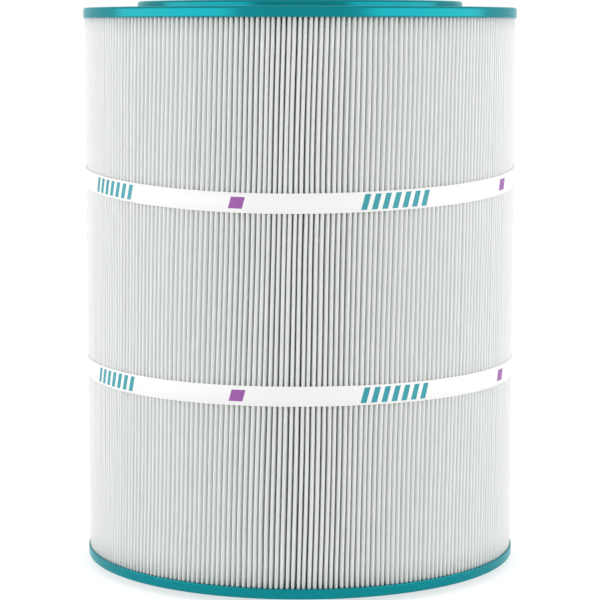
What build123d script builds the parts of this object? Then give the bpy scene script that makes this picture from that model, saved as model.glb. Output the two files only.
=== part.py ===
from build123d import *
import os
from math import cos, pi, radians, sin, tan

# Pleated filter cartridge, standing on its lower sealing ring.
# Millimetres, +Z up along the cartridge's axis. The origin is the centre of the lower sealing
# ring's face, which is the bottom of the whole cartridge.

# Driving dimensions: end caps, each with a trough for the ends of the pleats and of the core
cap_diameter = 255.6
brim_to_brim = 326.0  # between the outer faces of the two brims
cap_thickness = 6.0
cap_floor = 2.5  # solid thickness behind the pleat ends
brim_wall = 0.7  # outer wall of the trough
brim_outer_round = 1.4
brim_inner_round = 0.3
bore_diameter = 152.4
bore_edge_round = 1.0
collar_wall = 3.65
collar_depth = 12.0  # from the brim's outer face to the tip of the collar inside the core
collar_clearance = 0.15  # between the collar and the core's inner wall
seal_land = 7.65  # flat face between the bore and the sealing ring
seal_ring_width = 12.0
seal_ring_height = 3.75
seal_ring_round = 1.5

# Driving dimensions: core, a lattice tube of three sections that plug into each other
core_wall = 4.0
core_sections = 3
spigot_height = 4.0
spigot_clearance = 0.1  # radial, and also left at the bottom of each socket
window_columns = 24
window_rows = 6
window_width = 16.0
end_band = 12.0  # plain wall at both ends of every section
hoop_height = 4.0  # between one row of windows and the next

# Driving dimensions: media, one sheet folded into pleats
pleat_count = 264
media_thickness = 0.5
tip_clearance = 0.1  # between the tip folds and the trough's outer wall
tip_fold_width = 2.2  # outside width of a fold at the pleats' tips
root_fold_width = 1.52  # outside width of a fold at the pleats' roots
root_clearance = 0.4  # between the root folds and the core
seam_bead_depth = 12.0  # radial length of the hot-melt bead
seam_direction = 70.0  # degrees from +X to the joint between the sheet's two ends, at the back

# Driving dimensions: straps round the pleat tips, glued on a little out of level
strap_width = 11.2
strap_clearance = 0.05  # between the tip folds and the strap
strap_thickness = 0.3
strap_upper_height = 228.7  # centre line above the lower brim's outer face
strap_upper_tilt = 4.0  # degrees, low at the front and high at the lap
strap_lower_height = 115.1
strap_lower_tilt = 0.6
lap_length = 25.0
lap_glue_thickness = 0.1
lap_step_length = 1.0  # the stretch where the strap climbs onto itself
lap_direction = 90.0  # degrees from +X to the middle of the lap, at the back

# Worked out from the driving dimensions
cap_radius = cap_diameter / 2
bore_radius = bore_diameter / 2
collar_outer = bore_radius + collar_wall
seal_inner = bore_radius + seal_land
brim_bottom = seal_ring_height
brim_top = brim_bottom + cap_thickness
pocket_floor = brim_bottom + cap_floor
middle_height = seal_ring_height + brim_to_brim / 2
pack_length = brim_to_brim - 2 * cap_floor

core_inner = collar_outer + collar_clearance
core_outer = core_inner + core_wall
section_length = pack_length / core_sections
spigot_outer = core_inner + core_wall / 2 - spigot_clearance / 2
socket_radius = spigot_outer + spigot_clearance
window_height = (section_length - 2 * end_band - (window_rows - 1) * hoop_height) / window_rows

tip_outside = tip_fold_width / 2
tip_inside = tip_outside - media_thickness
root_outside = root_fold_width / 2
root_inside = root_outside - media_thickness
pleat_tip_radius = cap_radius - brim_wall - tip_clearance
tip_centre = pleat_tip_radius - tip_outside
root_centre = core_outer + root_clearance + root_outside
pleat_turn = 360 / pleat_count

strap_inner = pleat_tip_radius + strap_clearance
strap_outer = strap_inner + strap_thickness
lap_inner = strap_outer + lap_glue_thickness
lap_outer = lap_inner + strap_thickness


def polar_point(centre_radius, turn, along=0.0, across=0.0):
    """Point beside a fold's centre, stepped along its radius and across it."""
    radial = Vector(cos(radians(turn)), sin(radians(turn)))
    tangent = Vector(-radial.Y, radial.X)
    return radial * (centre_radius + along) + tangent * across


def fold(centre_radius, turn, bend, outwards):
    """Half circle of radius bend, on the outer or the inner side of a fold's centre."""
    reach = bend if outwards else -bend
    return ThreePointArc(
        polar_point(centre_radius, turn, across=-bend),
        polar_point(centre_radius, turn, along=reach),
        polar_point(centre_radius, turn, across=bend),
    )


def zigzag(tip_bend, root_bend):
    """One face of the folded sheet: every tip fold, flank and root fold in turn."""
    folds = []
    for pleat in range(pleat_count):
        pleat_start = seam_direction + pleat * pleat_turn
        folds.append(fold(tip_centre, pleat_start + pleat_turn / 2, tip_bend, outwards=True))
        if pleat < pleat_count - 1:
            folds.append(fold(root_centre, pleat_start + pleat_turn, root_bend, outwards=False))
    flanks = [Line(before @ 1, after @ 0) for before, after in zip(folds, folds[1:])]
    first_end = polar_point(root_centre, seam_direction, across=root_bend)
    last_end = polar_point(root_centre, seam_direction, across=-root_bend)
    return [Line(first_end, folds[0] @ 0), *folds, *flanks, Line(folds[-1] @ 1, last_end)]


def sector_outline(inner_radius, outer_radius, start, size):
    """Closed outline of a piece of a ring, from the start angle through size degrees."""
    inner = CenterArc((0, 0), inner_radius, start, size)
    outer = CenterArc((0, 0), outer_radius, start, size)
    return Wire([inner, outer, Line(inner @ 0, outer @ 0), Line(inner @ 1, outer @ 1)])


# The sheet's section: the face towards the water, the face towards the core, and two cut ends
water_face = zigzag(tip_outside, root_inside)
core_face = zigzag(tip_inside, root_outside)
cut_ends = [
    Line(water_face[0] @ 0, core_face[0] @ 0),
    Line(water_face[-1] @ 1, core_face[-1] @ 1),
]
with BuildSketch(Plane.XY.offset(pocket_floor)) as media_section:
    make_face(Wire([*water_face, *core_face, *cut_ends]))

with BuildPart() as pleated_media:
    add(media_section.sketch)
    extrude(amount=pack_length)

# Hot-melt bead between the flanks of the first and the last pleat, from cap to cap
seam_flanks = [water_face[0], water_face[-1]]
bead_share = seam_bead_depth / seam_flanks[0].length
with BuildPart() as media_seam_bead:
    with BuildSketch(Plane.XY.offset(brim_top)):
        with BuildLine():
            Polyline(
                seam_flanks[0] @ 0,
                seam_flanks[0] @ bead_share,
                seam_flanks[1] @ (1 - bead_share),
                seam_flanks[1] @ 1,
                close=True,
            )
        make_face()
    extrude(amount=brim_to_brim - 2 * cap_thickness)


# End cap: one turned profile with brim, trough, collar, bore and sealing ring
with BuildPart() as bottom_end_cap:
    with BuildSketch(Plane.XZ) as cap_profile:
        with Locations((bore_radius, brim_bottom)):
            Rectangle(cap_radius - bore_radius, cap_thickness, align=Align.MIN)
            Rectangle(collar_outer - bore_radius, collar_depth, align=Align.MIN)
        with Locations((seal_inner, 0)):
            Rectangle(seal_ring_width, seal_ring_height, align=Align.MIN)
        with Locations((collar_outer, pocket_floor)):
            trough_width = cap_radius - brim_wall - collar_outer
            Rectangle(trough_width, cap_thickness, align=Align.MIN, mode=Mode.SUBTRACT)
        fillet(cap_profile.vertices().group_by(Axis.Y)[0], radius=seal_ring_round)
        fillet(cap_profile.vertices().group_by(Axis.X)[0], radius=bore_edge_round)
        fillet(cap_profile.vertices().group_by(Axis.X)[-1].sort_by(Axis.Y)[0], radius=brim_outer_round)
        fillet(cap_profile.vertices().group_by(Axis.X)[-1].sort_by(Axis.Y)[-1], radius=brim_inner_round)
    revolve(axis=Axis.Z)

with BuildPart() as top_end_cap:
    mirror(bottom_end_cap.part, about=Plane.XY.offset(middle_height))


# Core: each section's top is a spigot and its bottom a socket, where another section meets it
def core_section(index):
    """One lattice section of the core, counted from the bottom."""
    base = pocket_floor + index * section_length
    first_row = base + end_band + window_height / 2
    row_pitch = window_height + hoop_height
    with BuildPart() as section:
        with BuildSketch(Plane.XY.offset(base)):
            Circle(core_outer)
            Circle(core_inner, mode=Mode.SUBTRACT)
        extrude(amount=section_length)
        if index < core_sections - 1:
            with BuildSketch(Plane.XY.offset(base + section_length)):
                Circle(spigot_outer)
                Circle(core_inner, mode=Mode.SUBTRACT)
            extrude(amount=spigot_height)
        if index > 0:
            with BuildSketch(Plane.XY.offset(base)):
                Circle(socket_radius)
            extrude(amount=spigot_height + spigot_clearance, mode=Mode.SUBTRACT)
        rows = [(0, 0, first_row + row * row_pitch) for row in range(window_rows)]
        with Locations(*rows):
            with PolarLocations(core_inner + core_wall / 2, window_columns):
                Box(2 * core_wall, window_width, window_height, mode=Mode.SUBTRACT)
    return section


core_lower, core_middle, core_upper = [core_section(index) for index in range(core_sections)]


# Straps: a band that goes once round the pleat tips and laps over itself at the back
lap_turn = 360 * lap_length / (2 * pi * lap_inner)
step_turn = 360 * lap_step_length / (2 * pi * lap_inner)
lap_start = lap_direction - lap_turn / 2


def blank_reach(tilt):
    """Height above and below a strap's centre line that holds its tilted edges with room to spare."""
    return strap_width + lap_outer * tan(radians(tilt))


def trim_to_edges(height, tilt):
    """Trims the blank in hand to the two edges of a strap, low at the front."""
    across_strap = (0, -sin(radians(tilt)), cos(radians(tilt)))
    centre_plane = Plane((0, 0, brim_bottom + height), z_dir=across_strap)
    split(bisect_by=centre_plane.offset(strap_width / 2), keep=Keep.BOTTOM)
    split(bisect_by=centre_plane.offset(-strap_width / 2), keep=Keep.TOP)


def strap(height, tilt):
    """Strap whose centre line is at this height above the lower brim's outer face."""
    with BuildPart() as band:
        with BuildSketch(Plane.XY.offset(brim_bottom + height - blank_reach(tilt))):
            Circle(strap_outer)
            Circle(strap_inner, mode=Mode.SUBTRACT)
            make_face(sector_outline(lap_inner, lap_outer, lap_start, lap_turn))
            make_face(sector_outline(strap_outer, lap_inner, lap_start, step_turn))
        extrude(amount=2 * blank_reach(tilt))
        trim_to_edges(height, tilt)
    return band


def lap_glue(height, tilt):
    """Glue between a strap's two layers, where it laps over itself."""
    with BuildPart() as glue:
        with BuildSketch(Plane.XY.offset(brim_bottom + height - blank_reach(tilt))):
            make_face(sector_outline(strap_outer, lap_inner, lap_start + step_turn, lap_turn - step_turn))
        extrude(amount=2 * blank_reach(tilt))
        trim_to_edges(height, tilt)
    return glue


strap_upper = strap(strap_upper_height, strap_upper_tilt)
strap_lower = strap(strap_lower_height, strap_lower_tilt)
strap_upper_lap_glue = lap_glue(strap_upper_height, strap_upper_tilt)
strap_lower_lap_glue = lap_glue(strap_lower_height, strap_lower_tilt)


pieces = {
    "top_end_cap": top_end_cap,
    "bottom_end_cap": bottom_end_cap,
    "pleated_media": pleated_media,
    "media_seam_bead": media_seam_bead,
    "core_lower": core_lower,
    "core_middle": core_middle,
    "core_upper": core_upper,
    "strap_upper": strap_upper,
    "strap_lower": strap_lower,
    "strap_upper_lap_glue": strap_upper_lap_glue,
    "strap_lower_lap_glue": strap_lower_lap_glue,
}
os.makedirs("parts", exist_ok=True)
for name, piece in pieces.items():
    piece.part.label = name
    export_step(piece.part, f"parts/{name}.step")
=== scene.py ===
"""Looks of a pleated pool filter cartridge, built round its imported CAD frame.

The end caps are cast polyurethane, turned from one profile each. The media is one folded sheet of
spun-bonded polyester, the straps are printed polyester tape, and the core is moulded ABS. Lengths
in this file are millimetres, and `scaled_mesh` turns them into the frame's metres.
"""

import logging
import math
from dataclasses import dataclass
from enum import Enum

import bpy
import numpy as np
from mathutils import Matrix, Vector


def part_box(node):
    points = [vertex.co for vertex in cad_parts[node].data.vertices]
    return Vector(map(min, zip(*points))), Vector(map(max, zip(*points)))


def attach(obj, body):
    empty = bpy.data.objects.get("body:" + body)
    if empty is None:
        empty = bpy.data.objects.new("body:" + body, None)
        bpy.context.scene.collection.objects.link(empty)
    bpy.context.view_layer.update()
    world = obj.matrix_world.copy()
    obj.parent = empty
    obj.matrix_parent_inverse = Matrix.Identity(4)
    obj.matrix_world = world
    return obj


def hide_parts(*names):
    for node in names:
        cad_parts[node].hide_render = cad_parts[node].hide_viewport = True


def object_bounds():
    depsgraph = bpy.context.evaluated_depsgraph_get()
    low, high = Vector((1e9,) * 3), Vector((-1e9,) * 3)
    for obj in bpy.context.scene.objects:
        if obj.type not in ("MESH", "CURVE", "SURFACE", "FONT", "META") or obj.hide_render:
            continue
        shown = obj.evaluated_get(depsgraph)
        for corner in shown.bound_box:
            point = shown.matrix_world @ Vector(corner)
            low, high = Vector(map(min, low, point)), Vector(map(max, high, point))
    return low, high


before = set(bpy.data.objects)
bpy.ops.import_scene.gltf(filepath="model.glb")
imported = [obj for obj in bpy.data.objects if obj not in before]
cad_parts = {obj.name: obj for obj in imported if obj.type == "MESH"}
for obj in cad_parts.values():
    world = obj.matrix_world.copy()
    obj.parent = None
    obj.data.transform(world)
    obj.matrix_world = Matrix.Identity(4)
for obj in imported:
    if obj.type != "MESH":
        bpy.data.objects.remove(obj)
cad_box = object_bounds()

METRES = 0.001
BODY = "root"
log = logging.getLogger("filter_cartridge")


# Small tools -----------------------------------------------------------------------------------


def linear_colour(hex_colour: str) -> tuple[float, float, float, float]:
    """Turns an sRGB hex colour into linear RGBA.

    Each channel is divided by 12.92 below 0.04045, and above it follows the power 2.4 curve.

    Args:
        hex_colour: Six hex digits, such as "14A3AE".

    Returns:
        Linear red, green, blue and an alpha of 1.
    """
    channels = np.array([int(hex_colour[start:start + 2], 16) for start in (0, 2, 4)]) / 255
    low, high = channels / 12.92, ((channels + 0.055) / 1.055) ** 2.4
    return (*np.where(channels <= 0.04045, low, high).tolist(), 1.0)


def add_node(
    tree: bpy.types.NodeTree, kind: str, settings: dict | None = None, links: dict | None = None
) -> bpy.types.Node:
    """Adds one shader node with its settings, socket values and links.

    Args:
        tree: The node tree that gets the node.
        kind: Blender's name for the node's type, such as "ShaderNodeBump".
        settings: Values by name. A name of the node itself is set there, any other on that input.
        links: Output sockets by the name or number of the input that each one feeds.

    Returns:
        The new node.
    """
    node = tree.nodes.new(kind)
    for name, value in (settings or {}).items():
        if isinstance(name, str) and hasattr(node, name):
            setattr(node, name, value)
        else:
            node.inputs[name].default_value = value
    for name, source in (links or {}).items():
        tree.links.new(source, node.inputs[name])
    return node


def grid_faces(rows: int, columns: int, wrap_rows: bool, wrap_columns: bool) -> np.ndarray:
    """Corner numbers of the four-sided faces between neighbouring points of a grid.

    Point (row, column) has number row * columns + column. A wrapped direction joins its last
    points to its first.

    Args:
        rows: Number of rows of points.
        columns: Number of points in a row.
        wrap_rows: Whether the last row joins the first.
        wrap_columns: Whether each row's last point joins its first.

    Returns:
        An array of shape (faces, 4).
    """
    row = np.arange(rows if wrap_rows else rows - 1)[:, None]
    column = np.arange(columns if wrap_columns else columns - 1)[None, :]
    next_row, next_column = (row + 1) % rows, (column + 1) % columns
    corners = (
        row * columns + column,
        row * columns + next_column,
        next_row * columns + next_column,
        next_row * columns + column,
    )
    return np.stack(corners, axis=-1).reshape(-1, 4)


def scaled_mesh(
    name: str, points: np.ndarray, faces: np.ndarray, sharp_degrees: float = 40.0
) -> bpy.types.Object:
    """Makes a mesh object from points in millimetres, at the origin and shaded smooth.

    Args:
        name: The piece's name.
        points: Array whose last axis holds x, y and z in millimetres.
        faces: Array of corner numbers, one four-sided face a row.
        sharp_degrees: Edges that bend more than this stay sharp.

    Returns:
        The linked object.
    """
    flat_points = (points.reshape(-1, 3) * METRES).astype(np.float32)
    mesh = bpy.data.meshes.new(name)
    mesh.vertices.add(len(flat_points))
    mesh.vertices.foreach_set("co", flat_points.ravel())
    mesh.loops.add(faces.size)
    mesh.loops.foreach_set("vertex_index", faces.ravel().astype(np.int32))
    mesh.polygons.add(len(faces))
    starts = np.arange(len(faces), dtype=np.int32) * faces.shape[1]
    mesh.polygons.foreach_set("loop_start", starts)
    mesh.update(calc_edges=True)
    mesh.validate()
    mesh.shade_smooth()
    mesh.set_sharp_from_angle(angle=math.radians(sharp_degrees))
    piece = bpy.data.objects.new(name, mesh)
    bpy.context.scene.collection.objects.link(piece)
    return piece


def polar(radius: np.ndarray, angle: np.ndarray, height: np.ndarray) -> np.ndarray:
    """Points from radius, angle in radians and height: x is r cos a, y is r sin a, z is height."""
    radius, angle, height = np.broadcast_arrays(radius, angle, height)
    return np.stack([radius * np.cos(angle), radius * np.sin(angle), height], axis=-1)


def smooth_step(value: np.ndarray) -> np.ndarray:
    """Eases from 0 to 1 as value goes from 0 to 1: three v squared minus two v cubed."""
    held = np.clip(value, 0.0, 1.0)
    return held * held * (3.0 - 2.0 * held)


def ring_noise(
    angle: np.ndarray, height: np.ndarray, lobes: tuple[int, ...], wavelength: float, seed: int
) -> np.ndarray:
    """Smooth noise over a cylinder, seamless round it and about 1 high.

    It is a sum of sine waves, each with a whole number of lobes round the ring, a wavelength up
    the height within a third of the given one, and a random phase.

    Args:
        angle: Angles in radians.
        height: Heights in millimetres.
        lobes: Numbers of waves round the ring, one sine each.
        wavelength: Typical wavelength along the height, in millimetres.
        seed: Start of the random numbers.

    Returns:
        An array of the shape that angle and height broadcast to.
    """
    random = np.random.default_rng(seed)
    total = np.zeros(np.broadcast(angle, height).shape)
    for lobe in lobes:
        phase, stretch = random.uniform(0, 2 * np.pi), random.uniform(0.67, 1.33)
        slope = random.choice([-1.0, 1.0]) * 2 * np.pi / (wavelength * stretch)
        total = total + np.sin(lobe * angle + slope * height + phase)
    return total / math.sqrt(len(lobes))


def rounded_outline(
    corners: list[tuple[float, float, float]], steps: int = 6, hold: float = 0.35
) -> np.ndarray:
    """Closed outline through corners, each one rounded by an arc.

    At a corner with unit directions a and b to its neighbours and radius r, the arc starts at
    r / tan(half the angle between them) along a, and its centre lies on the middle direction. A
    held point stands just before and after each arc, so that flat stretches shade flat.

    Args:
        corners: (x, y, radius) of each corner, in order.
        steps: Straight pieces in each arc.
        hold: Distance from an arc's end to its held point.

    Returns:
        An array of shape (points, 2).
    """
    places = np.array([corner[:2] for corner in corners])
    outline = []
    for number, (x, y, radius) in enumerate(corners):
        place = np.array([x, y])
        before, after = places[number - 1] - place, places[(number + 1) % len(corners)] - place
        toward, away = before / np.linalg.norm(before), after / np.linalg.norm(after)
        half = math.acos(float(np.clip(toward @ away, -1, 1))) / 2
        middle = (toward + away) / np.linalg.norm(toward + away)
        centre, reach = place + middle * radius / math.sin(half), radius / math.tan(half)
        sweep = np.linspace(-1, 1, steps + 1) * (math.pi / 2 - half)
        side = (away - toward) / np.linalg.norm(away - toward)
        arc = centre + radius * (np.outer(np.sin(sweep), side) - np.outer(np.cos(sweep), middle))
        outline += [place + toward * (reach + hold), *arc, place + away * (reach + hold)]
    return np.array(outline)


# Finishes --------------------------------------------------------------------------------------


@dataclass(frozen=True)
class CastPolyurethane:
    """Cast polyurethane elastomer, poured in an open mould and cured.

    It is opaque and glossy, with slow waves and a faint cloudy colour from the pour. The shader is
    part metallic, which a plain resin isn't, so that its gleam takes the resin's own colour.
    """

    colour: str = "148088"
    cloud_colour: str = "148891"
    gleam_colour: str = "35E2EC"
    metallic: float = 0.5
    index: float = 1.42  # of refraction, low, so that the white of the gleam stays faint
    roughness: float = 0.22
    cloud_mm: float = 30.0
    wave_mm: float = 22.0
    wave_depth_mm: float = 0.05
    skin_mm: float = 1.6
    skin_depth_mm: float = 0.006

    def material(self) -> bpy.types.Material:
        """Builds the material: cloudy colour, then bump from slow waves and a fine skin.

        Returns:
            The material.
        """
        made = bpy.data.materials.new("cast_polyurethane_gloss")
        made.use_nodes = True
        tree = made.node_tree
        shader = tree.nodes["Principled BSDF"]
        place = add_node(tree, "ShaderNodeTexCoord").outputs["Object"]
        cloud = add_node(
            tree,
            "ShaderNodeTexNoise",
            {"Scale": 1 / (self.cloud_mm * METRES), "Detail": 3.0},
            {"Vector": place},
        )
        blend = add_node(
            tree,
            "ShaderNodeMix",
            {"data_type": "RGBA", 6: linear_colour(self.colour), 7: linear_colour(self.cloud_colour)},
            {0: cloud.outputs["Fac"]},
        )
        wave = add_node(
            tree,
            "ShaderNodeTexNoise",
            {"Scale": 1 / (self.wave_mm * METRES), "Detail": 2.0},
            {"Vector": place},
        )
        skin = add_node(
            tree,
            "ShaderNodeTexNoise",
            {"Scale": 1 / (self.skin_mm * METRES), "Detail": 2.0},
            {"Vector": place},
        )
        slow = add_node(
            tree,
            "ShaderNodeBump",
            {"Strength": 1.0, "Distance": self.wave_depth_mm * METRES},
            {"Height": wave.outputs["Fac"]},
        )
        fine = add_node(
            tree,
            "ShaderNodeBump",
            {"Strength": 1.0, "Distance": self.skin_depth_mm * METRES},
            {"Height": skin.outputs["Fac"], "Normal": slow.outputs["Normal"]},
        )
        shader.inputs["Roughness"].default_value = self.roughness
        shader.inputs["IOR"].default_value = self.index
        shader.inputs["Metallic"].default_value = self.metallic
        shader.inputs["Specular Tint"].default_value = linear_colour(self.gleam_colour)
        tree.links.new(blend.outputs[2], shader.inputs["Base Color"])
        tree.links.new(fine.outputs["Normal"], shader.inputs["Normal"])
        return made


@dataclass(frozen=True)
class SpunBondedPolyester:
    """White spun-bonded polyester felt: melted threads laid at random and pressed flat.

    It is matt, lets a little light through, and has a faint mottle where threads bunch.
    """

    colour: str = "F8FBF9"
    bunch_colour: str = "F1F5F2"
    roughness: float = 0.85
    glow_through: float = 0.6
    glow_depth_mm: float = 1.5
    bunch_mm: float = 9.0
    # Real threads are 0.02 mm thick. They are drawn 0.5 mm wide, so that they show at all.
    thread_mm: float = 0.5
    thread_depth_mm: float = 0.03

    def material(self) -> bpy.types.Material:
        """Builds the material: mottled white and a fine thread bump.

        Returns:
            The material.
        """
        made = bpy.data.materials.new("spun_bonded_polyester")
        made.use_nodes = True
        tree = made.node_tree
        shader = tree.nodes["Principled BSDF"]
        place = add_node(tree, "ShaderNodeTexCoord").outputs["Object"]
        bunch = add_node(
            tree,
            "ShaderNodeTexNoise",
            {"Scale": 1 / (self.bunch_mm * METRES), "Detail": 4.0},
            {"Vector": place},
        )
        blend = add_node(
            tree,
            "ShaderNodeMix",
            {"data_type": "RGBA", 6: linear_colour(self.bunch_colour), 7: linear_colour(self.colour)},
            {0: bunch.outputs["Fac"]},
        )
        thread = add_node(
            tree,
            "ShaderNodeTexNoise",
            {"Scale": 1 / (self.thread_mm * METRES), "Detail": 3.0, "Distortion": 1.5},
            {"Vector": place},
        )
        bump = add_node(
            tree,
            "ShaderNodeBump",
            {"Strength": 1.0, "Distance": self.thread_depth_mm * METRES},
            {"Height": thread.outputs["Fac"]},
        )
        shader.inputs["Roughness"].default_value = self.roughness
        shader.inputs["Subsurface Weight"].default_value = self.glow_through
        shader.inputs["Subsurface Scale"].default_value = self.glow_depth_mm * METRES
        shader.inputs["Subsurface Radius"].default_value = (1.0, 1.0, 1.0)
        tree.links.new(blend.outputs[2], shader.inputs["Base Color"])
        tree.links.new(bump.outputs["Normal"], shader.inputs["Normal"])
        return made


@dataclass(frozen=True)
class PolyesterTape:
    """Polyester tape with a satin face, or the printing ink that has dried on it."""

    name: str
    colour: str
    roughness: float = 0.45
    rib_mm: float = 6.91  # from one rib's top to the next
    rib_depth_mm: float = 0.02
    rib_strength: float = 0.6
    mottle_mm: float = 6.0
    mottle_shade: float = 0.975  # share of the colour left where the mottle is darkest

    def material(self) -> bpy.types.Material:
        """Builds the material: one colour, with faint ribs along the tape and a slight mottle.

        The wave texture runs through 20 radians for each unit, so its scale is a turn over 20 ribs.

        Returns:
            The material.
        """
        made = bpy.data.materials.new(self.name)
        made.use_nodes = True
        tree = made.node_tree
        shader = tree.nodes["Principled BSDF"]
        place = add_node(tree, "ShaderNodeTexCoord").outputs["Object"]
        rib = add_node(
            tree,
            "ShaderNodeTexWave",
            {
                "wave_type": "BANDS",
                "bands_direction": "Z",
                "Scale": 2 * math.pi / (20 * self.rib_mm * METRES),
                "Distortion": 0.6,
            },
            {"Vector": place},
        )
        mottle = add_node(
            tree,
            "ShaderNodeTexNoise",
            {"Scale": 1 / (self.mottle_mm * METRES), "Detail": 3.0},
            {"Vector": place},
        )
        darker = (*(self.mottle_shade * channel for channel in linear_colour(self.colour)[:3]), 1.0)
        blend = add_node(
            tree,
            "ShaderNodeMix",
            {"data_type": "RGBA", 6: darker, 7: linear_colour(self.colour)},
            {0: mottle.outputs["Fac"]},
        )
        bump = add_node(
            tree,
            "ShaderNodeBump",
            {"Strength": self.rib_strength, "Distance": self.rib_depth_mm * METRES},
            {"Height": rib.outputs["Fac"]},
        )
        shader.inputs["Roughness"].default_value = self.roughness
        tree.links.new(blend.outputs[2], shader.inputs["Base Color"])
        tree.links.new(bump.outputs["Normal"], shader.inputs["Normal"])
        return made


@dataclass(frozen=True)
class MouldedPlastic:
    """Injection-moulded ABS or set hot-melt: one colour with a fine moulded grain."""

    name: str
    colour: str
    roughness: float = 0.42
    roughness_change: float = 0.05
    patch_mm: float = 25.0
    grain_mm: float = 0.8
    grain_depth_mm: float = 0.01

    def material(self) -> bpy.types.Material:
        """Builds the material: one colour, slightly uneven gloss and a grain bump.

        Returns:
            The material.
        """
        made = bpy.data.materials.new(self.name)
        made.use_nodes = True
        tree = made.node_tree
        shader = tree.nodes["Principled BSDF"]
        place = add_node(tree, "ShaderNodeTexCoord").outputs["Object"]
        grain = add_node(
            tree,
            "ShaderNodeTexNoise",
            {"Scale": 1 / (self.grain_mm * METRES), "Detail": 2.0},
            {"Vector": place},
        )
        patch = add_node(
            tree,
            "ShaderNodeTexNoise",
            {"Scale": 1 / (self.patch_mm * METRES), "Detail": 2.0},
            {"Vector": place},
        )
        gloss = add_node(
            tree,
            "ShaderNodeMapRange",
            {
                "To Min": self.roughness - self.roughness_change,
                "To Max": self.roughness + self.roughness_change,
            },
            {"Value": patch.outputs["Fac"]},
        )
        bump = add_node(
            tree,
            "ShaderNodeBump",
            {"Strength": 1.0, "Distance": self.grain_depth_mm * METRES},
            {"Height": grain.outputs["Fac"]},
        )
        shader.inputs["Base Color"].default_value = linear_colour(self.colour)
        tree.links.new(gloss.outputs["Result"], shader.inputs["Roughness"])
        tree.links.new(bump.outputs["Normal"], shader.inputs["Normal"])
        return made


# Sub-assemblies --------------------------------------------------------------------------------


def dress(piece: bpy.types.Object, material: bpy.types.Material, slot: str, *nodes: str) -> None:
    """Finishes a new piece: its material, its body and the nodes it replaces.

    Args:
        piece: The new mesh object.
        material: Its finish.
        slot: The record's material slot. Not used.
        *nodes: CAD nodes that it stands for.
    """
    piece.data.materials.append(material)
    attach(piece, BODY)
    if nodes:
        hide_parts(*nodes)
    log.info("%s: %d faces", piece.name, len(piece.data.polygons))


class CapEnd(Enum):
    """Which end of the cartridge a cap closes. The value is the way its outer face looks."""

    TOP = 1
    BOTTOM = -1


@dataclass
class EndCap:
    """One cast end cap, with brim, sealing ring, bore and collar in one turned profile.

    The trough of the CAD cap is filled here, because the resin runs in between the pleats.
    """

    end: CapEnd
    outer_face: float  # height of the brim's outer face
    radius: float
    brim_height: float = 6.0
    brim_round: float = 1.4
    lip_round: float = 0.6
    lip_width: float = 0.9
    ring_outer: float = 95.85
    ring_width: float = 12.0
    ring_height: float = 3.75
    ring_round: float = 1.5
    bore: float = 76.2
    bore_round: float = 1.0
    collar_outer: float = 79.85
    collar_depth: float = 12.0
    collar_round: float = 0.8
    inner_round: float = 0.5  # in the corners where two walls meet
    meniscus: float = 0.1  # how far the resin sinks between the brim and the pleats
    meniscus_width: float = 1.5
    meniscus_round: float = 0.6
    segments: int = 384

    def profile(self) -> np.ndarray:
        """Outline of the cap's section as (radius, depth), with depth 0 at the outer face.

        Returns:
            A closed outline. Depth grows towards the cartridge's middle.
        """
        ring_inner = self.ring_outer - self.ring_width
        lip_inner = self.radius - self.lip_width
        floor = self.brim_height - self.meniscus
        corners = [
            (self.bore, 0.0, self.bore_round),
            (ring_inner, 0.0, self.inner_round),
            (ring_inner, -self.ring_height, self.ring_round),
            (self.ring_outer, -self.ring_height, self.ring_round),
            (self.ring_outer, 0.0, self.inner_round),
            (self.radius, 0.0, self.brim_round),
            (self.radius, self.brim_height, self.lip_round),
            (lip_inner, self.brim_height, 0.1),
            (lip_inner - self.meniscus_width, floor, self.meniscus_round),
            (self.collar_outer, floor, self.inner_round),
            (self.collar_outer, self.collar_depth, self.collar_round),
            (self.bore, self.collar_depth, self.bore_round),
        ]
        return rounded_outline(corners, steps=5, hold=0.25)

    def build(self) -> bpy.types.Object:
        """Turns the profile about Z. A point's place is its radius at each angle, and its depth.

        Returns:
            The cap's mesh object.
        """
        outline = self.profile()
        angle = np.linspace(0, 2 * np.pi, self.segments, endpoint=False)[:, None]
        height = self.outer_face - self.end.value * outline[None, :, 1]
        points = polar(outline[None, :, 0], angle, height)
        faces = grid_faces(self.segments, len(outline), wrap_rows=True, wrap_columns=True)
        if self.end is CapEnd.BOTTOM:
            faces = faces[:, ::-1]
        return scaled_mesh(f"{self.end.name.lower()}_cap_casting", points, faces)


@dataclass(frozen=True)
class StrapLine:
    """The line a strap follows: a flat ring that tilts, low at the front and high at the back."""

    centre: float  # height at its sides
    slope: float  # rise for each step towards the back

    def height(self, radius: float, angle: np.ndarray) -> np.ndarray:
        """Height at an angle: the centre plus the slope times radius times sin angle."""
        return self.centre + self.slope * radius * np.sin(angle)


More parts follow.
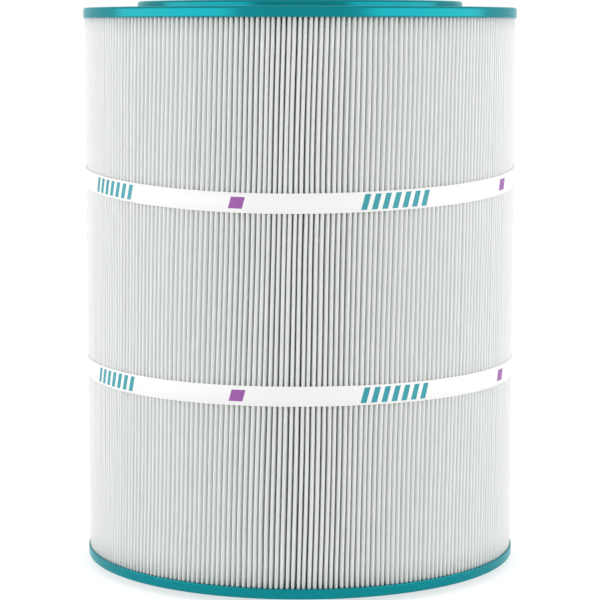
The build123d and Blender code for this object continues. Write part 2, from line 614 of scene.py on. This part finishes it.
@dataclass
class PleatPack:
    """The folded sheet of media, as one closed skin with the sheet's own thickness.

    A pleat is a tip fold and a root fold joined by straight flanks. The pleats lean together a
    little from cap to cap. Each one also bows, less under the straps and not at all in the caps.
    """

    base: float
    top: float
    strap_lines: tuple[StrapLine, ...]
    count: int = 264
    thickness: float = 0.5
    tip_radius: float = 127.0
    tip_width: float = 1.7
    belly_width: float = 2.45
    belly_depth: float = 2.8  # from the tip folds' centre to the belly
    root_radius: float = 84.4
    root_width: float = 1.52
    seam_degrees: float = 70.0
    rows: int = 20
    lean: float = 0.026  # sideways travel of the tips for each step up, all round
    lean_change: float = 0.008  # how much that changes round the pack
    wander: float = 0.4  # how far groups of tips bow sideways
    stray: float = 0.06  # how far a single tip bows from its group
    spacing: float = 0.13  # how far a whole pleat stands off its even place
    width_change: float = 0.07  # share by which folds are wider or narrower
    bow: float = 0.2  # how far tips sink between the places that hold them
    bow_change: float = 40.0  # height over which that changes by a radian
    group_wavelength: float = 420.0
    stray_wavelengths: tuple[float, float] = (90.0, 220.0)
    grip: float = 4.0  # reach of a cap's or a strap's full hold
    cap_fade: float = 40.0  # height over which a cap's hold fades
    strap_fade: float = 22.0
    strap_freedom: float = 0.45  # share of its bow that a tip keeps under a strap
    seed: int = 11

    def section(self, tip_bend: float, root_bend: float) -> tuple[np.ndarray, ...]:
        """One face of the sheet's section, as points that follow the sheet from end to end.

        A tip fold has five points on a half circle of radius tip_bend about its centre. Below it
        each flank swells to the belly, where neighbours almost touch. A root fold has the two
        ends of its half circle, because it lies deep between the pleats.

        Args:
            tip_bend: Radius of the face at the tip folds.
            root_bend: Radius of the face at the root folds.

        Returns:
            Each point's pleat number, radius, sideways step and closeness to the tip.
        """
        turn = np.radians(np.linspace(-90, 90, 5))
        tip_centre = self.tip_radius - self.tip_width / 2
        root_centre = self.root_radius + self.root_width / 2
        belly_radius = tip_centre - self.belly_depth
        belly = self.belly_width / 2 - self.tip_width / 2 + tip_bend
        swell = (belly_radius - root_centre) / (tip_centre - root_centre)
        arc = tip_centre + tip_bend * np.cos(turn)
        radius = np.array([root_centre, root_centre, belly_radius, *arc, belly_radius])
        step = np.array([-root_bend, root_bend, -belly, *(tip_bend * np.sin(turn)), belly])
        pleat = np.array([0.0, 0.0, *[0.5] * 7])
        reach = np.array([0.0, 0.0, swell, *[1.0] * 5, swell])
        number = np.arange(self.count + 1)[:, None]
        tiled = [number + pleat, *(np.tile(value, (self.count + 1, 1)) for value in (radius, step, reach))]
        # The seam has no root fold: the first point and all after the last flank are left out.
        return tuple(value.ravel()[1:-8] for value in tiled)

    def hold(self, angle: np.ndarray, height: np.ndarray) -> np.ndarray:
        """How freely a tip may bow at a place: 0 in the caps, less than 1 under a strap, else 1.

        Args:
            angle: Angles in radians.
            height: Heights in millimetres.

        Returns:
            The freedom at every pair of angle and height.
        """
        below, above = height - self.base - self.grip, self.top - self.grip - height
        free = smooth_step(below / self.cap_fade) * smooth_step(above / self.cap_fade)
        for line in self.strap_lines:
            apart = np.abs(height - line.height(self.tip_radius, angle))
            loose = smooth_step((apart - self.grip) / self.strap_fade)
            free = free * (self.strap_freedom + (1 - self.strap_freedom) * loose)
        return free

    def build(self) -> bpy.types.Object:
        """Carries the section up the height, with each tip's own wander.

        A point's angle is its pleat's, plus its sideways step and travel over its radius. The
        travel is a lean that grows with height from the middle, plus bows that fade where the
        pleat is held. Its radius sinks by the bow. Both faces and the two cut ends make one
        closed skin.

        Returns:
            The media's mesh object.
        """
        tip, root = self.tip_width / 2, self.root_width / 2
        water = self.section(tip, root - self.thickness)
        core = self.section(tip - self.thickness, root)
        pleat, radius, step, reach = (np.concatenate([a, b[::-1]]) for a, b in zip(water, core))
        height = np.linspace(self.base, self.top, self.rows)[:, None]
        angle = np.radians(self.seam_degrees) + pleat * 2 * np.pi / self.count
        random = np.random.default_rng(self.seed)
        whole = np.round(pleat - 0.5).astype(int) % self.count
        phase = random.uniform(0, 2 * np.pi, (2, self.count))
        pitch = random.uniform(*self.stray_wavelengths, self.count)
        offset, width = random.uniform(-1, 1, (2, self.count))
        step = step * (1 + reach * self.width_change * width[whole])
        own = np.sin(2 * np.pi * height / pitch[whole] + phase[0, whole])
        group = ring_noise(angle, height, (3, 5, 8, 11), self.group_wavelength, self.seed)
        slope = self.lean + self.lean_change * ring_noise(angle, np.zeros(1), (2, 3, 5), 1, self.seed)
        freedom = self.hold(angle, height)
        travel = slope * (height - (self.base + self.top) / 2) + self.spacing * offset[whole]
        travel = travel + freedom * (self.wander * group + self.stray * own)
        ripple = 0.5 + 0.5 * np.sin(phase[1, whole] + height / self.bow_change)
        sink = reach * freedom * self.bow * ripple
        points = polar(radius - sink, angle + (step + reach * travel) / radius, height)
        columns = len(radius)
        sides = grid_faces(self.rows, columns, wrap_rows=False, wrap_columns=True)
        near = np.arange(len(water[0]) - 1)
        cut = np.stack([near, columns - 1 - near, columns - 2 - near, near + 1], axis=-1)
        last = cut[:, ::-1] + (self.rows - 1) * columns
        piece = scaled_mesh("folded_media", points, np.concatenate([sides, cut, last]), 180.0)
        return piece


@dataclass
class Strap:
    """One flat strap that goes once round the pleat tips and laps over itself at the back."""

    name: str
    line: StrapLine
    radius: float = 127.2  # middle of its thickness
    width: float = 11.1
    thickness: float = 0.3
    lap_degrees: float = 11.2
    lap_rise: float = 0.4
    lap_rise_turn: float = 0.02  # radians over which it rises
    lap_middle: float = 90.0
    edge_inset: float = 0.12
    edge_share: float = 0.4  # share of the thickness left at the edges' flat
    waver: float = 0.18
    columns: int = 1080
    seed: int = 5

    def start_angle(self) -> float:
        """Angle of the strap's start in radians: half a lap before the lap's middle."""
        return math.radians(self.lap_middle - self.lap_degrees / 2)

    def middle_line(self, turn: np.ndarray) -> tuple[np.ndarray, np.ndarray]:
        """Radius and height of the strap's middle along its way round.

        The radius rises smoothly onto the lap near the end, and the height wavers a little.

        Args:
            turn: Angle from the strap's start, in radians.

        Returns:
            Radius and height, each of the shape of turn.
        """
        rise = smooth_step((turn - 2 * np.pi) / self.lap_rise_turn + 0.5)
        start = self.start_angle()
        waver = self.waver * ring_noise(turn, np.zeros(1), (2, 3, 5), 100, self.seed)
        return self.radius + self.lap_rise * rise, self.line.height(self.radius, start + turn) + waver

    def build(self) -> bpy.types.Object:
        """Carries a thin rounded section along the middle line, with both ends closed.

        Returns:
            The strap's mesh object.
        """
        half_width, half_thick = self.width / 2, self.thickness / 2
        across = np.array([-1, -1, 0, 1, 1, 1, 1, 0, -1, -1]) * half_width
        inset = np.array([0, 1, 0, -1, 0, 0, -1, 0, 1, 0]) * self.edge_inset
        edge = self.edge_share
        out = np.array([-edge, -1, -1, -1, -edge, edge, 1, 1, 1, edge]) * half_thick
        length = 2 * np.pi + math.radians(self.lap_degrees)
        turn = np.linspace(0, length, self.columns)[:, None]
        radius, height = self.middle_line(turn)
        points = polar(radius + out, self.start_angle() + turn, height + across + inset)
        section = len(across)
        sides = grid_faces(self.columns, section, wrap_rows=False, wrap_columns=True)
        near = np.arange(section // 2 - 1)
        cap = np.stack([near, section - 1 - near, section - 2 - near, near + 1], axis=-1)
        far = cap[:, ::-1] + (self.columns - 1) * section
        piece = scaled_mesh(self.name, points, np.concatenate([sides[:, ::-1], cap[:, ::-1], far[:, ::-1]]))
        return piece

    def printed_plates(
        self, name: str, outlines: np.ndarray, steps: int = 6, proud: float = 0.03
    ) -> bpy.types.Object:
        """Thin plates of ink on the strap, each between two slanted sides.

        A plate's point lies at a share of the way from its left side to its right side, and at a
        share of its height. Its outer face is proud of the strap and its inner face sunk in it.

        Args:
            name: The piece's name.
            outlines: Array (plates, 4, 2) of corners as (arc length from the front, height), in
                millimetres: lower left, lower right, upper right, upper left.
            steps: Straight pieces across a plate.
            proud: Height of the ink above the strap.

        Returns:
            The print's mesh object.
        """
        share = np.linspace(0, 1, steps + 1)[None, :, None]
        low = outlines[:, None, 0] * (1 - share) + outlines[:, None, 1] * share
        high = outlines[:, None, 3] * (1 - share) + outlines[:, None, 2] * share
        rims = np.stack([low, high, high, low], axis=2)
        skin = self.radius + self.thickness / 2
        radius = np.array([skin - proud, skin - proud, skin + proud, skin + proud])
        arc, level = rims[..., 0], rims[..., 1]
        turn = arc / skin - math.pi / 2
        middle = self.middle_line(np.mod(turn - self.start_angle(), 2 * np.pi))[1]
        points = polar(radius, turn, middle + level)
        plates, stations = points.shape[:2]
        side = grid_faces(stations, 4, wrap_rows=False, wrap_columns=True)
        ends = np.array([[0, 1, 2, 3], [3, 2, 1, 0]]) + np.array([[0], [4 * (stations - 1)]])
        one = np.concatenate([side, ends])
        first = (np.arange(plates) * stations * 4)[:, None, None]
        return scaled_mesh(name, points, (first + one[None, :, ::-1]).reshape(-1, 4))


def slanted_bars(
    centres: np.ndarray, bars: int, pitch: float, width: float, tall: float, slant: float = 0.28
) -> np.ndarray:
    """Outlines of a plain hatch of slanted bars round each centre.

    Args:
        centres: Arc length of each hatch's middle from the front, in millimetres.
        bars: Bars in a hatch.
        pitch: Distance from one bar to the next.
        width: Width of a bar.
        tall: Height of a bar.
        slant: Sideways lean of a bar for each step up.

    Returns:
        Array (plates, 4, 2) of corners.
    """
    offsets = (np.arange(bars) - (bars - 1) / 2) * pitch
    middle = (centres[:, None] + offsets[None, :]).reshape(-1, 1)
    lean = tall * slant
    across = middle + np.array([-width - lean, width - lean, width + lean, -width + lean]) / 2
    up = np.broadcast_to(np.array([-tall, -tall, tall, tall]) / 2, across.shape)
    return np.stack([across, up], axis=-1)


# Studio ----------------------------------------------------------------------------------------


@dataclass(frozen=True)
class Softbox:
    """One soft studio lamp, aimed at the cartridge's middle."""

    name: str
    azimuth: float  # degrees from the camera's direction, to the right
    distance: float = 1.5
    height: float = 0.15  # above what it faces
    width: float = 2.2
    tall: float = 0.9
    watts: float = 13.0

    def build(self, aim: np.ndarray) -> None:
        """Places the lamp on its circle round aim and turns it to face aim.

        Args:
            aim: The point that it faces, in metres.
        """
        lamp = bpy.data.lights.new(self.name, "AREA")
        lamp.shape = "RECTANGLE"
        lamp.size, lamp.size_y, lamp.energy = self.width, self.tall, self.watts
        holder = bpy.data.objects.new(self.name, lamp)
        turn = math.radians(self.azimuth - 90)
        away = np.array([math.cos(turn), math.sin(turn), 0.0]) * self.distance
        place = aim + away + np.array([0, 0, self.height])
        holder.location = place.tolist()
        look = bpy.data.objects.new("aim", None).location.copy()
        look.xyz = (aim - place).tolist()
        holder.rotation_euler = look.to_track_quat("-Z", "Y").to_euler()
        bpy.context.scene.collection.objects.link(holder)


@dataclass
class Studio:
    """White studio: pale floor, white surroundings, side softboxes and the camera."""

    sky_light: float = 0.62
    floor_size: float = 60.0  # metres
    floor_glow: float = 0.68
    floor_seen: str = "C0C0C0"  # the floor's paint where it is seen
    floor_bounce: str = "F2F2F2"  # and where it only throws light back
    softbox_azimuth: float = 70.0
    camera_distance: float = 1.347
    camera_height: float = 0.3165
    lens: float = 135.4
    tilt_degrees: float = 6.81

    def white_for_camera(self, tree: bpy.types.NodeTree) -> bpy.types.NodeSocket:
        """Adds a factor that is 1 for camera, mirror and see-through rays, and else 0.

        Args:
            tree: The node tree that gets the nodes.

        Returns:
            The factor's socket.
        """
        path = add_node(tree, "ShaderNodeLightPath")
        seen = add_node(
            tree,
            "ShaderNodeMath",
            {"operation": "MAXIMUM"},
            {0: path.outputs["Is Camera Ray"], 1: path.outputs["Is Glossy Ray"]},
        )
        both = add_node(
            tree,
            "ShaderNodeMath",
            {"operation": "MAXIMUM"},
            {0: seen.outputs[0], 1: path.outputs["Is Transmission Ray"]},
        )
        return both.outputs[0]

    def build_world(self) -> None:
        """White where it is seen, and a plain grey level where it only lights the object."""
        world = bpy.data.worlds.new("white_studio")
        bpy.context.scene.world = world
        world.use_nodes = True
        tree = world.node_tree
        tree.nodes.clear()
        lit = add_node(tree, "ShaderNodeBackground", {"Strength": self.sky_light})
        lit.inputs["Color"].default_value = linear_colour("FFFFFF")
        seen = add_node(tree, "ShaderNodeBackground", {"Strength": 1.0})
        seen.inputs["Color"].default_value = linear_colour("FFFFFF")
        both = add_node(
            tree,
            "ShaderNodeMixShader",
            links={0: self.white_for_camera(tree), 1: lit.outputs[0], 2: seen.outputs[0]},
        )
        add_node(tree, "ShaderNodeOutputWorld", links={"Surface": both.outputs[0]})

    def build_floor(self) -> None:
        """A flat floor at height 0, which glows a little where it is seen and keeps a soft shadow."""
        half = self.floor_size / 2
        points = np.array([[-half, -half, 0], [half, -half, 0], [half, half, 0], [-half, half, 0]])
        floor = scaled_mesh("studio_floor", points / METRES, np.array([[0, 1, 2, 3]]))
        made = bpy.data.materials.new("matt_white_floor")
        made.use_nodes = True
        tree = made.node_tree
        tree.nodes.clear()
        paint = add_node(tree, "ShaderNodeBsdfDiffuse", {"Color": linear_colour(self.floor_bounce)})
        shade = add_node(tree, "ShaderNodeBsdfDiffuse", {"Color": linear_colour(self.floor_seen)})
        glow = add_node(tree, "ShaderNodeEmission", {"Strength": self.floor_glow})
        mixed = add_node(tree, "ShaderNodeAddShader", links={0: shade.outputs[0], 1: glow.outputs[0]})
        chosen = add_node(
            tree,
            "ShaderNodeMixShader",
            links={0: self.white_for_camera(tree), 1: paint.outputs[0], 2: mixed.outputs[0]},
        )
        add_node(tree, "ShaderNodeOutputMaterial", links={"Surface": chosen.outputs[0]})
        floor.data.materials.append(made)

    def build_camera(self) -> None:
        """A long lens a little below the top brim, tilted down so that the cartridge fills the view."""
        camera = bpy.data.cameras.new("studio_camera")
        camera.lens, camera.sensor_width, camera.clip_end = self.lens, 36.0, 100.0
        holder = bpy.data.objects.new("studio_camera", camera)
        holder.location = (0.0, -self.camera_distance, self.camera_height)
        holder.rotation_euler = (math.radians(90 - self.tilt_degrees), 0.0, 0.0)
        bpy.context.scene.collection.objects.link(holder)
        bpy.context.scene.camera = holder

    def build(self, aim: np.ndarray) -> None:
        """Builds the floor, the surroundings, the lamps and the camera.

        Args:
            aim: The cartridge's middle, in metres.
        """
        bpy.context.scene.view_settings.view_transform = "Standard"
        self.build_world()
        self.build_floor()
        Softbox("left_softbox", -self.softbox_azimuth).build(aim)
        Softbox("right_softbox", self.softbox_azimuth).build(aim)
        self.build_camera()


# The whole cartridge ---------------------------------------------------------------------------


@dataclass
class Cartridge:
    """The whole cartridge: casting, media, straps and core in their places in the frame."""

    cad_strap_width: float = 11.2
    teal: CastPolyurethane = CastPolyurethane()
    felt: SpunBondedPolyester = SpunBondedPolyester()
    tape: PolyesterTape = PolyesterTape("polyester_tape_white", "FCFCFB")
    teal_ink: PolyesterTape = PolyesterTape("printing_ink_teal", "1C9AA6", 0.4)
    purple_ink: PolyesterTape = PolyesterTape("printing_ink_purple", "9A52A6", 0.4)
    core_plastic: MouldedPlastic = MouldedPlastic("moulded_abs_white", "EDEEEC")
    glue: MouldedPlastic = MouldedPlastic("set_hot_melt", "E4DFCB", 0.3)

    def strap_line(self, node: str) -> StrapLine:
        """Reads a strap's line from its CAD node's box: its middle height and its tilt.

        The box is as tall as the strap is wide, plus the slope times the strap's diameter.

        Args:
            node: The strap's CAD node.

        Returns:
            The line.
        """
        low, high = (np.array(corner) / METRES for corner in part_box(node))
        slope = (high[2] - low[2] - self.cad_strap_width) / (high[0] - low[0])
        return StrapLine((low[2] + high[2]) / 2, slope)

    def build_caps(self) -> None:
        """Makes both castings in place of the CAD caps."""
        material = self.teal.material()
        for end, node in ((CapEnd.BOTTOM, "bottom_end_cap"), (CapEnd.TOP, "top_end_cap")):
            low, high = (np.array(corner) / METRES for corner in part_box(node))
            ring = EndCap.ring_height
            face = high[2] - ring if end is CapEnd.TOP else low[2] + ring
            cap = EndCap(end, face, (high[0] - low[0]) / 2)
            dress(cap.build(), material, "end_cap", node)

    def build_media(self, strap_lines: tuple[StrapLine, ...]) -> None:
        """Makes the folded media in place of the CAD sheet.

        Args:
            strap_lines: Lines of the straps that hold the pleats.
        """
        low, high = (np.array(corner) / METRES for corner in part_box("pleated_media"))
        pack = PleatPack(low[2], high[2], strap_lines)
        dress(pack.build(), self.felt.material(), "media", "pleated_media")

    def build_straps(self, lines: dict[str, StrapLine]) -> None:
        """Makes both straps and their plain printed marks.

        Args:
            lines: Line of each strap by its CAD node's name.
        """
        tape, teal, purple = (ink.material() for ink in (self.tape, self.teal_ink, self.purple_ink))
        arc = Strap.radius * math.pi / 180
        teal_centres = np.array([-138.1, -56.7, 24.7, 106.1]) * arc
        purple_centres = np.array([-97.2, -15.8, 65.6, 147.0]) * arc
        for seed, (node, line) in enumerate(lines.items()):
            strap = Strap(f"{node}_tape", line, seed=seed + 5)
            dress(strap.build(), tape, "strap", node)
            bars = slanted_bars(teal_centres, bars=7, pitch=6.1, width=3.4, tall=8.6)
            dress(strap.printed_plates(f"{node}_teal_print", bars), teal, "strap")
            square = slanted_bars(purple_centres, bars=1, pitch=0.0, width=8.0, tall=6.4)
            dress(strap.printed_plates(f"{node}_purple_print", square), purple, "strap")

    def dress_cad_nodes(self) -> None:
        """Gives the CAD nodes that stay in view their materials."""
        plastic, glue = self.core_plastic.material(), self.glue.material()
        finishes = {"core_lower": plastic, "core_middle": plastic, "core_upper": plastic}
        finishes |= dict.fromkeys(("media_seam_bead", "strap_upper_lap_glue", "strap_lower_lap_glue"), glue)
        for name, material in finishes.items():
            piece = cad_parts[name]
            piece.data.materials.clear()
            piece.data.materials.append(material)
            log.info("%s: dressed in %s", name, material.name)

    def build(self) -> None:
        """Builds the sub-assemblies in order."""
        lines = {node: self.strap_line(node) for node in ("strap_upper", "strap_lower")}
        self.build_caps()
        self.build_media(tuple(lines.values()))
        self.build_straps(lines)
        self.dress_cad_nodes()


def main() -> None:
    """Builds the cartridge, then its studio aimed at the middle of the CAD frame."""
    logging.basicConfig(level=logging.INFO, format="%(name)s %(message)s")
    Cartridge().build()
    low, high = (np.array(corner) for corner in cad_box)
    Studio().build((low + high) / 2)


if __name__ == "__main__":
    main()
